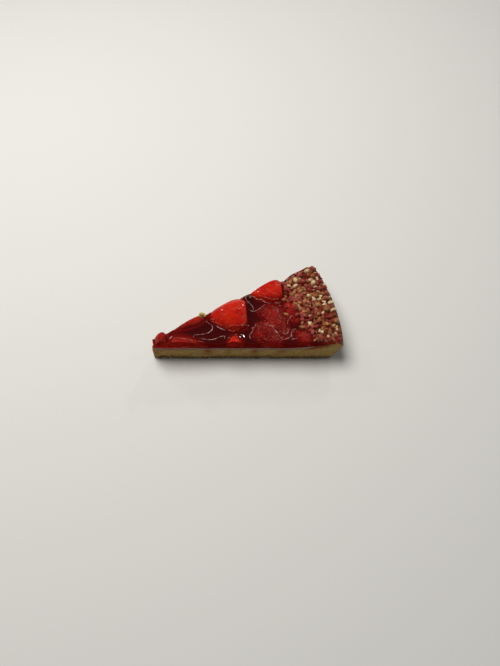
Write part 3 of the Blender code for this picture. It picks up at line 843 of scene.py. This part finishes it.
def pipPlaces(number, cuts):
    # Pips wind round the berry by the golden angle; those that a cut took away are left out
    spec = berries[number]
    place = berryPlace(spec)
    turned = place.to_3x3()
    found = []
    for index in range(spec["pips"] * 2):
        share = (index + pipRng.random()) / (spec["pips"] * 2)
        angle = index * math.pi * (3 - math.sqrt(5)) + pipRng.uniform(-1, 1) * strawberry["pipDrift"]
        if math.sin(angle) < 0.05:
            continue
        start = place @ Vector((spec["size"][0] * (0.48 - 0.96 * share), 0, 0))
        way = turned @ Vector((0, math.cos(angle), math.sin(angle)))
        hit, normal = wholeTrees[number].ray_cast(start, way)[:2]
        if hit is None:
            continue
        if all((hit - point).dot(outward) < -strawberry["pipFromCut"] for point, outward in cuts):
            found.append((hit, normal))
    return found


def makeBerry(number, pipBody):
    spec = berries[number]
    bm = berryBody(number, round(strawberry["rings"] * detail), round(strawberry["sides"] * detail))
    cuts = berryCuts(number)
    pips = pipPlaces(number, cuts)
    pipTree = treeOfPoints([hit for hit, normal in pips])
    bm.normal_update()
    moved = {}
    for vert in bm.verts:
        away = pipTree.find(vert.co)[2] / strawberry["pitWidth"]
        moved[vert] = vert.normal * (-spec["pit"] * math.exp(-away * away))
    for vert, move in moved.items():
        vert.co += move
    cutBerry(bm, cuts)
    clear = bm.verts.layers.float.new("clear")
    wander, scale = strawberry["patchy"]
    for vert in bm.verts:
        above = vert.co.z - jellySurface(vert.co.x, vert.co.y) + wander * noise.noise(vert.co * scale)
        vert[clear] = ease(above, strawberry["clearFrom"], strawberry["clearAt"][spec["look"]])
    showPiece(f"berry_{number + 1}", bm, [looks[spec["look"]], cutFlesh], 45,
              [f"strawberry_{number + 1}"])
    towardsTip = berryPlace(spec).to_3x3() @ Vector((1, 0, 0))
    shape = Matrix.Diagonal((0.5, strawberry["pipWidth"], strawberry["pipHeight"])).to_4x4()
    for hit, normal in pips:
        if hit.z < jellySurface(hit.x, hit.y) + strawberry["pipAbove"]:
            continue
        side = normal.cross(towardsTip).normalized()
        forward = side.cross(normal)
        turn = Matrix((forward, side, normal)).transposed().to_4x4()
        sunk = Matrix.Translation(hit - normal * spec["pit"] * strawberry["pipSunk"])
        bmesh.ops.create_icosphere(pipBody, subdivisions=1, radius=strawberry["pipLength"],
                                   matrix=sunk @ turn @ shape)


pipBody = bmesh.new()
for number in range(len(berries)):
    makeBerry(number, pipBody)
showPiece("pips", pipBody, [driedAchene()], 60)

# Streaks of glaze that set proud of the jelly and of the fruit and catch the light; their pale colour is a
# painted highlight

streaks = {
    "poolWidth": 0.00034,
    "fruitWidth": 0.00026,
    "wrinkleWidth": 0.00012,
    "wrinkles": {5: 16, 7: 64, 8: 50, 9: 30, 10: 18},  # how many on each berry
    "wrinkleStep": 0.0005,
    "wrinkleBend": 0.8,
    "fromCut": 0.0008,
    "spacing": 0.0003,
    "wanderScale": 700,
    # Folds in the skin of the jelly where it set
    "folds": [
        [(0.0402, 0.0170), (0.0427, 0.0151), (0.0442, 0.0142), (0.0447, 0.0115), (0.0429, 0.0093),
         (0.0406, 0.0080), (0.0359, 0.0071), (0.0332, 0.0066), (0.0321, 0.0044)],
        [(0.0361, 0.0042), (0.0403, 0.0034), (0.0441, 0.0031), (0.0473, 0.0039), (0.0501, 0.0053),
         (0.0531, 0.0058), (0.0525, 0.0030)],
        [(0.0475, 0.0137), (0.0499, 0.0118), (0.0535, 0.0101)],
        [(0.0741, 0.0153), (0.0731, 0.0121), (0.0717, 0.0118), (0.0719, 0.0093), (0.0697, 0.0060),
         (0.0707, 0.0034)],
        [(0.0664, 0.0361), (0.0673, 0.0336), (0.0694, 0.0317), (0.0715, 0.0298), (0.0723, 0.0273),
         (0.0715, 0.0261)],
        [(0.0691, 0.0267), (0.0731, 0.0254), (0.0773, 0.0273), (0.0805, 0.0305)],
        [(0.0953, 0.0145), (0.0959, 0.0175), (0.0981, 0.0199)],
        [(0.0920, 0.0078), (0.0935, 0.0067), (0.0955, 0.0084), (0.0952, 0.0114)],
        [(0.1008, 0.0096), (0.0993, 0.0105), (0.0976, 0.0078), (0.0972, 0.0049), (0.0944, 0.0034),
         (0.0918, 0.0026)],
        [(0.0974, 0.0031), (0.1014, 0.0023)],
    ],
    "pool": [
        [(0.0664, 0.0349), (0.0687, 0.0364), (0.0727, 0.0365), (0.0745, 0.0350), (0.0781, 0.0338),
         (0.0808, 0.0321), (0.0848, 0.0313)],
        [(0.0472, 0.0137), (0.0495, 0.0117), (0.0535, 0.0099)],
        [(0.0644, 0.0119), (0.0670, 0.0128), (0.0696, 0.0137)],
        [(0.0871, 0.0319), (0.0898, 0.0314), (0.0916, 0.0326)],
        [(0.0840, 0.0132), (0.0865, 0.0096), (0.0895, 0.0057), (0.0916, 0.0022)],
    ],
    "fruit": [
        [(0.0434, 0.0182), (0.0450, 0.0179), (0.0479, 0.0180)],
        [(0.0508, 0.0189), (0.0530, 0.0191), (0.0552, 0.0198)],
        [(0.0582, 0.0226), (0.0608, 0.0237), (0.0634, 0.0259)],
        [(0.0591, 0.0209), (0.0602, 0.0222), (0.0626, 0.0229), (0.0652, 0.0247)],
        [(0.0626, 0.0200), (0.0644, 0.0210), (0.0665, 0.0219)],
        [(0.0648, 0.0157), (0.0652, 0.0170), (0.0670, 0.0184), (0.0673, 0.0170)],
        [(0.0539, 0.0150), (0.0555, 0.0141)],
        [(0.0504, 0.0168), (0.0515, 0.0162)],
        [(0.0539, 0.0115), (0.0570, 0.0122), (0.0600, 0.0122), (0.0635, 0.0119), (0.0661, 0.0135),
         (0.0687, 0.0166)],
        [(0.0552, 0.0103), (0.0583, 0.0091), (0.0609, 0.0101), (0.0635, 0.0107)],
        [(0.0441, 0.0173), (0.0472, 0.0155), (0.0508, 0.0135)],
        [(0.0813, 0.0409), (0.0830, 0.0385), (0.0857, 0.0366), (0.0870, 0.0359), (0.0892, 0.0360)],
        [(0.0781, 0.0372), (0.0796, 0.0362), (0.0807, 0.0356)],
        [(0.0830, 0.0349), (0.0841, 0.0346)],
        [(0.0759, 0.0361), (0.0785, 0.0351), (0.0803, 0.0343), (0.0839, 0.0331), (0.0861, 0.0329),
         (0.0884, 0.0333), (0.0907, 0.0331)],
        [(0.0835, 0.0429), (0.0844, 0.0421)],
        [(0.0180, 0.0043), (0.0246, 0.0030), (0.0324, 0.0018), (0.0400, 0.0010)],
    ],
}
streakRng = random.Random(3)


def glazeWithPaintedHighlight(name, lightHex, darkHex):
    # A raised ridge of glaze, wet looking; it is paler than what it lies on, and that paleness is a painted
    # highlight
    material, tree, shader, place = newMaterial(
        name, {"Roughness": 0.3, "Coat Weight": 1.0, "Coat Roughness": 0.05})
    cloud = addNode(tree, "ShaderNodeTexNoise", {"Scale": 700, "Detail": 2}, {"Vector": place})
    colour = addNode(tree, "ShaderNodeValToRGB", {"ramp": [(0.38, darkHex), (0.62, lightHex)]},
                     {"Fac": cloud.outputs["Fac"]})
    tree.links.new(colour.outputs["Color"], shader.inputs["Base Color"])
    return material


def topAt(x, y):
    hits = [tree.ray_cast(Vector((x, y, aloft)), -up)[0] for tree in berryTrees]
    return max([jellyTop(x, y), *[hit.z for hit in hits if hit is not None]])


def wrinklePaths(number, count):
    # Short bent lines strewn over one berry
    spec = berries[number - 1]
    place = berryPlace(spec)
    found = []
    for index in range(count):
        reach = math.sqrt(streakRng.random()) / 2
        around = streakRng.uniform(0, math.tau)
        start = place @ Vector((spec["size"][0] * reach * math.cos(around),
                                spec["size"][1] * reach * math.sin(around), 0))
        heading = streakRng.uniform(0, math.tau)
        path = [(start.x, start.y)]
        for step in range(streakRng.randint(2, 6)):
            heading += streakRng.uniform(-1, 1) * streaks["wrinkleBend"]
            x, y = path[-1]
            path.append((x + streaks["wrinkleStep"] * math.cos(heading),
                         y + streaks["wrinkleStep"] * math.sin(heading)))
        if all(fromCut(Vector((x, y, 0)))[0] > streaks["fromCut"] for x, y in path):
            found.append(path)
    return found


def beads(paths, width):
    # Thin beads of uneven width along the paths, half sunk into whatever lies there
    curve = bpy.data.curves.new("beads", "CURVE")
    curve.dimensions = "3D"
    curve.bevel_depth = width
    curve.bevel_resolution = 1
    curve.use_fill_caps = True
    for path in paths:
        places = smoothPath(path, streaks["spacing"])
        spline = curve.splines.new("POLY")
        spline.points.add(len(places) - 1)
        for index, place in enumerate(places):
            middle = math.sin(math.pi * (index + 0.5) / len(places))
            wander = 0.5 + 0.5 * noise.noise(Vector((place.x, place.y, 0)) * streaks["wanderScale"])
            spline.points[index].co = (place.x, place.y, topAt(place.x, place.y), 1)
            spline.points[index].radius = (0.3 + 0.7 * middle) * (0.15 + 1.6 * wander * wander)
    holder = bpy.data.objects.new("beads", curve)
    bpy.context.scene.collection.objects.link(holder)
    mesh = evaluatedMesh(holder)
    bpy.data.objects.remove(holder)
    bm = bmesh.new()
    bm.from_mesh(mesh)
    bpy.data.meshes.remove(mesh)
    return bm


wrinkles = [path for number, count in streaks["wrinkles"].items() for path in wrinklePaths(number, count)]
# Pale pink-white on the jelly and pink on the fruit: painted highlight along the streaks
paleHighlightGlaze = glazeWithPaintedHighlight("glaze streak on the jelly with painted highlight", "#D0B4AA", "#8E5448")
pinkHighlightGlaze = glazeWithPaintedHighlight("glaze streak on the fruit with painted highlight", "#E08468", "#A03020")
poolPaths = streaks["folds"] + streaks["pool"]
showPiece("pool_streaks", beads(poolPaths, streaks["poolWidth"]), [paleHighlightGlaze], 60)
showPiece("fruit_streaks", beads(streaks["fruit"], streaks["fruitWidth"]), [pinkHighlightGlaze], 60)
showPiece("fruit_wrinkles", beads(wrinkles, streaks["wrinkleWidth"]), [pinkHighlightGlaze], 60)

# Chopped nuts: those fused to the solids, then loose ones between them

nuts = {
    "proud": 0.0005,       # a corner this far above its carrier belongs to a nut
    "peak": 0.0009,
    "widest": 0.0031,
    "from": 0.09,          # distance from the centre
    "clearance": 0.0003,   # from the berries
    "rootDepth": 0.0012,
    "bevel": 0.00022,
    "takenUp": 1.7,        # room that a packed nut takes, as a share of its reach
    "extra": 440,          # aimed at between them; fewer find room
    "tries": 60000,
    "packing": 0.27,
    "shrinking": 1.4,
    "rimBare": (0.114, 0.121, 0.9),  # from, to, share left out beyond
    "buried": 0.25,
    "extraSizes": (0.0048, 0.0014),
    # Where they begin: degrees from the near cut, distance from the centre
    "ring": [(0.0, 0.1128), (3.6, 0.1095), (7.0, 0.1062), (12.0, 0.1068), (16.0, 0.1060), (19.0, 0.1010),
             (22.0, 0.0980), (29.0, 0.0980)],
    "seed": 11,
    "takesUp": {"pale": 0.35, "toasted": 0.85, "stained": 0.95},
    # Pieces that catch the eye: place, size, kind
    "single": [
        (0.0953, 0.0217, 0.0058, "toasted"), (0.1146, 0.0104, 0.0046, "toasted"),
        (0.1183, 0.0078, 0.0044, "toasted"), (0.0992, 0.0475, 0.0044, "toasted"),
        (0.1013, 0.0404, 0.0048, "toasted"), (0.1023, 0.0321, 0.0048, "stained"),
        (0.1172, 0.0433, 0.0048, "pale"), (0.1259, 0.0320, 0.0046, "pale"), (0.1293, 0.0168, 0.0044, "pale"),
        (0.1199, 0.0236, 0.0032, "pale"), (0.1202, 0.0494, 0.0038, "pale"), (0.1283, 0.0275, 0.0034, "pale"),
        (0.1287, 0.0130, 0.0032, "pale"), (0.1225, 0.0470, 0.0034, "pale"),
    ],
}
chip = {
    "uneven": (0.82, 1.12),
    "cuts": 4,
    "cutAt": (0.20, 0.38),
    "cutCloseness": 0.0001,
    "long": 1.1,
    "wide": (0.5, 0.95),
    "high": (0.4, 0.75),
    "lean": 0.5,
}
rng = random.Random(nuts["seed"])


def carrierHeight(name, x, y):
    radius = math.hypot(x, y)
    if name == "pastry_base":
        return along(pastry["top"], radius) + rimLift(radius, math.atan2(y, x))
    if name == "strawberry_9":
        hit = berryTrees[8].ray_cast(Vector((x, y, aloft)), -up)[0]
        return hit.z if hit is not None else 1
    return jellyTop(x, y)


def packedNuts():
    # Each patch of corners that stands clear of its carrier is one nut of the solids
    patches = []
    for name in ("pastry_base", "fruit_jelly", "strawberry_9"):
        bm = bmesh.new()
        bm.from_mesh(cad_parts[name].data)
        bmesh.ops.remove_doubles(bm, verts=bm.verts[:], dist=mergeWithin)
        bmesh.ops.translate(bm, vec=-centre, verts=bm.verts[:])
        proud = {}
        for vert in bm.verts:
            beside = name == "fruit_jelly" and berryDistance(vert.co) < nuts["clearance"]
            if math.hypot(vert.co.x, vert.co.y) > nuts["from"] and not beside:
                above = vert.co.z - carrierHeight(name, vert.co.x, vert.co.y)
                if above > nuts["proud"]:
                    proud[vert] = above
        while proud:
            vert, above = proud.popitem()
            patch = [vert]
            peak = above
            for reached in patch:
                for edge in reached.link_edges:
                    other = edge.other_vert(reached)
                    if other in proud:
                        peak = max(peak, proud.pop(other))
                        patch.append(other)
            middle = sum((corner.co for corner in patch), Vector()) / len(patch)
            reach = max((corner.co - middle).length for corner in patch)
            if peak > nuts["peak"] and len(patch) > 3 and reach < nuts["widest"]:
                patches.append([corner.co.copy() for corner in patch])
        bm.free()
    return patches


def nutFromPatch(corners):
    # The hull of its corners and of the same corners sunk into the carrier, with worn edges
    bm = bmesh.new()
    low = min(corner.z for corner in corners)
    middle = sum(corners, Vector()) / len(corners)
    for corner in corners:
        bm.verts.new(corner)
        inner = middle.lerp(corner, 1.1)
        bm.verts.new((inner.x, inner.y, low - nuts["rootDepth"]))
    hull = bmesh.ops.convex_hull(bm, input=bm.verts[:])
    bmesh.ops.delete(bm, geom=list({*hull["geom_interior"], *hull["geom_unused"]}), context="VERTS")
    bmesh.ops.bevel(bm, geom=bm.edges[:], offset=nuts["bevel"], affect="EDGES", segments=1, profile=0.5,
                    material=-1)
    return bm


def choppedPiece(size):
    # A chip of nut or a crumb: an uneven lump with flat broken sides
    bm = bmesh.new()
    bmesh.ops.create_icosphere(bm, subdivisions=1, radius=0.5)
    for vert in bm.verts:
        vert.co *= rng.uniform(*chip["uneven"])
    for cut in range(chip["cuts"]):
        outward = Vector((rng.uniform(-1, 1), rng.uniform(-1, 1), rng.uniform(-0.6, 1.0))).normalized()
        cutAway(bm, outward * rng.uniform(*chip["cutAt"]), outward, chip["cutCloseness"])
    shape = Matrix.Diagonal((size * chip["long"], size * rng.uniform(*chip["wide"]),
                             size * rng.uniform(*chip["high"]), 1))
    turn = Matrix.Rotation(rng.uniform(0, math.tau), 4, "Z")
    lean = Matrix.Rotation(rng.uniform(-1, 1) * chip["lean"], 4, "X")
    bmesh.ops.transform(bm, matrix=turn @ lean @ shape, verts=bm.verts[:])
    return bm


def nutKind(x, y):
    # Near the rim pale and toasted, inwards stained by the juice
    outward = ease(math.hypot(x, y), 0.100, 0.128)
    draw = rng.random()
    if draw < 0.03 + 0.10 * outward:
        return "pale"
    if draw < 0.36 + 0.42 * outward:
        return "toasted"
    return "stained"


def juiceOn(co, kind):
    # Juice soaks up from below, in patches, more so by the near cut
    above = co.z - jellySurface(co.x, co.y)
    patches = 0.5 + 0.8 * noise.noise(co * 220)
    byNearCut = 0.25 * (1 - ease(co.y, 0.010, 0.028))
    soaked = (0.9 + byNearCut) * patches + 0.5 * (1 - ease(above, 0, 0.0016))
    return nuts["takesUp"][kind] * min(1.0, max(0.0, soaked))


def nutOn(place, size):
    bm = choppedPiece(size)
    lowest = min(vert.co.z for vert in bm.verts)
    bmesh.ops.translate(bm, vec=place - up * (lowest + nuts["buried"] * size), verts=bm.verts[:])
    return bm


def nutHeight(x, y):
    return topAt(x, y) if math.hypot(x, y) < jelly["edge"] else carrierHeight("pastry_base", x, y)


def layNuts():
    kinds = {"pale": bmesh.new(), "toasted": bmesh.new(), "stained": bmesh.new()}
    laid = []
    for corners in packedNuts():
        middle = sum(corners, Vector()) / len(corners)
        reach = max((corner - middle).length for corner in corners)
        laid.append((middle.x, middle.y, reach * nuts["takenUp"]))
        addTo(kinds[nutKind(middle.x, middle.y)], nutFromPatch(corners))
    print("nuts of the solids:", len(laid))
    for x, y, size, kind in nuts["single"]:
        addTo(kinds[kind], nutOn(Vector((x, y, nutHeight(x, y))), size))
        laid.append((x, y, size))
    nearTrees = [berryTrees[number] for number in (5, 6, 7, 9)]
    largest, smallest = nuts["extraSizes"]
    bareFrom, bareTo, leftOut = nuts["rimBare"]
    placed = 0
    for attempt in range(nuts["tries"]):
        if placed == nuts["extra"]:
            break
        size = smallest + (largest - smallest) * (1 - placed / nuts["extra"]) ** nuts["shrinking"]
        angle = rng.uniform(0, tart["cutAngle"])
        inner = along(nuts["ring"], math.degrees(angle))
        radius = math.sqrt(rng.uniform(inner ** 2, (tart["rimRadius"] - 0.6 * size) ** 2))
        x = radius * math.cos(angle)
        y = radius * math.sin(angle)
        if fromCut(Vector((x, y, 0)))[0] < 0.5 * size:
            continue
        if rng.random() < leftOut * ease(radius, bareFrom, bareTo):
            continue
        if any(math.hypot(x - a, y - b) < nuts["packing"] * (size + other) for a, b, other in laid):
            continue
        place = Vector((x, y, nutHeight(x, y)))
        if any(distanceTo(tree, place) < 0.5 * size for tree in nearTrees):
            continue
        laid.append((x, y, size))
        placed += 1
        addTo(kinds[nutKind(x, y)], nutOn(place, size))
    print("nuts laid:", len(laid))
    return kinds


nutFinishes = {
    "pale": choppedNut("blanched nut", "#E6D0A2", "#BE9C68", 0.2),
    "toasted": choppedNut("toasted nut", "#B98854", "#84532E", 0.25),
    "stained": choppedNut("juice stained nut", "#B0584A", "#6E2018", 0.5),
}
for kind, body in layNuts().items():
    juice = body.verts.layers.float.new("juice")
    for vert in body.verts:
        vert[juice] = juiceOn(vert.co, kind)
    showPiece("nuts_" + kind, body, [nutFinishes[kind]], 35)

# Loose crumbs of the shortcrust along its broken edges

crumbs = {
    "count": 420,
    "sizes": (0.0006, 0.0020),
    "beyond": 0.0009,     # how far they stand out of the cuts
    "upTo": 0.0030,
    "outermost": 0.1235,  # clear of the foot of the rim
    "brownUpTo": (0.0004, 0.0016, 0.8),
    # Bits carried onto the fruit: place and size
    "strays": [(0.0376, 0.0203, 0.0237, 0.0050), (0.0370, 0.0204, 0.0252, 0.0038),
               (0.0388, 0.0207, 0.0232, 0.0038)],
}


def layCrumbs():
    joined = bmesh.new()
    for index in range(crumbs["count"]):
        size = rng.uniform(*crumbs["sizes"])
        radius = rng.uniform(tart["noseRadius"], crumbs["outermost"])
        height = crumbs["upTo"] * rng.random() ** 2
        out = rng.uniform(-0.5 * size, crumbs["beyond"] - 0.5 * size)
        place = Vector((radius, -out, 0)) if index % 2 else farPlace(radius, out)
        bm = choppedPiece(size)
        lowest = min(vert.co.z for vert in bm.verts)
        bmesh.ops.translate(bm, vec=place + up * (height - lowest), verts=bm.verts[:])
        addTo(joined, bm)
    for x, y, z, size in crumbs["strays"]:
        bm = choppedPiece(size)
        bmesh.ops.translate(bm, vec=(x, y, z), verts=bm.verts[:])
        addTo(joined, bm)
    crust = joined.verts.layers.float.new("crust")
    brownFrom, brownTo, brownStrength = crumbs["brownUpTo"]
    for vert in joined.verts:
        vert[crust] = brownStrength * (1 - ease(vert.co.z, brownFrom, brownTo))
    return joined


def farPlace(radius, out):
    towardsRim = Vector((math.cos(tart["cutAngle"]), math.sin(tart["cutAngle"]), 0))
    return towardsRim * radius - farInward * out


showPiece("crumbs", layCrumbs(), [pastryPiece.data.materials[0]], 35)

# Floor, light and camera

studio = {
    "floor": "#CFCDC6",
    "sky": "#E8EAEC",
    "skyStrength": 0.11,
    "key": ("key", 9.5, 0.6, -50, 68),  # name, power, size, azimuth and elevation in degrees
    # Small lamps that only make the highlights
    "glints": [("glint", 0.7, 0.06, 24, 32), ("edge", 0.42, 0.05, -42, 34), ("side", 0.28, 0.04, 85, 50)],
    "lampDistance": 0.9,
    "floorSize": 2,
    "floorGap": 0.0001,
}
view = {
    "elevation": math.radians(60),
    "distance": 0.375,
    "aim": Vector((0.00188, -0.01214, 0)),
    "lens": 28.32,
    "sensorHeight": 36,
}


def makeStage():
    bm = bmesh.new()
    bmesh.ops.create_grid(bm, x_segments=1, y_segments=1, size=studio["floorSize"])
    bmesh.ops.translate(bm, vec=(0, 0, -studio["floorGap"]), verts=bm.verts[:])
    mesh = bpy.data.meshes.new("floor")
    bm.to_mesh(mesh)
    bm.free()
    material, tree, shader, place = newMaterial("matt paper floor", {"Roughness": 0.8})
    shader.inputs["Base Color"].default_value = hexColour(studio["floor"])
    mesh.materials.append(material)
    floor = bpy.data.objects.new("floor", mesh)
    bpy.context.scene.collection.objects.link(floor)


def addLight(name, power, size, azimuth, elevation, mirrored):
    # A round panel at that height and side, turned to the slice, kept out of the glaze unless mirrored
    azimuth = math.radians(azimuth)
    elevation = math.radians(elevation)
    lamp = bpy.data.lights.new(name, "AREA")
    lamp.shape = "DISK"
    lamp.size = size
    lamp.energy = power
    holder = bpy.data.objects.new(name, lamp)
    side = Vector((math.sin(azimuth) * math.cos(elevation), math.cos(azimuth) * math.cos(elevation),
                   math.sin(elevation)))
    holder.location = side * studio["lampDistance"]
    holder.rotation_euler = side.to_track_quat("Z", "Y").to_euler()
    holder.visible_glossy = mirrored
    bpy.context.scene.collection.objects.link(holder)


def makeCamera():
    data = bpy.data.cameras.new("camera")
    data.sensor_fit = "VERTICAL"
    data.sensor_height = view["sensorHeight"]
    data.lens = view["lens"]
    camera = bpy.data.objects.new("camera", data)
    back = Vector((0, -math.cos(view["elevation"]), math.sin(view["elevation"])))
    camera.location = view["aim"] + back * view["distance"]
    camera.rotation_euler = (math.radians(90) - view["elevation"], 0, 0)
    bpy.context.scene.collection.objects.link(camera)
    bpy.context.scene.camera = camera


world = bpy.data.worlds.new("studio")
bpy.context.scene.world = world
world.use_nodes = True
sky = world.node_tree.nodes["Background"]
sky.inputs["Color"].default_value = hexColour(studio["sky"])
sky.inputs["Strength"].default_value = studio["skyStrength"]
bpy.context.scene.view_settings.view_transform = "Standard"
makeStage()
addLight(*studio["key"], mirrored=False)
for lamp in studio["glints"]:
    addLight(*lamp, mirrored=True)
makeCamera()
print("stage ready")
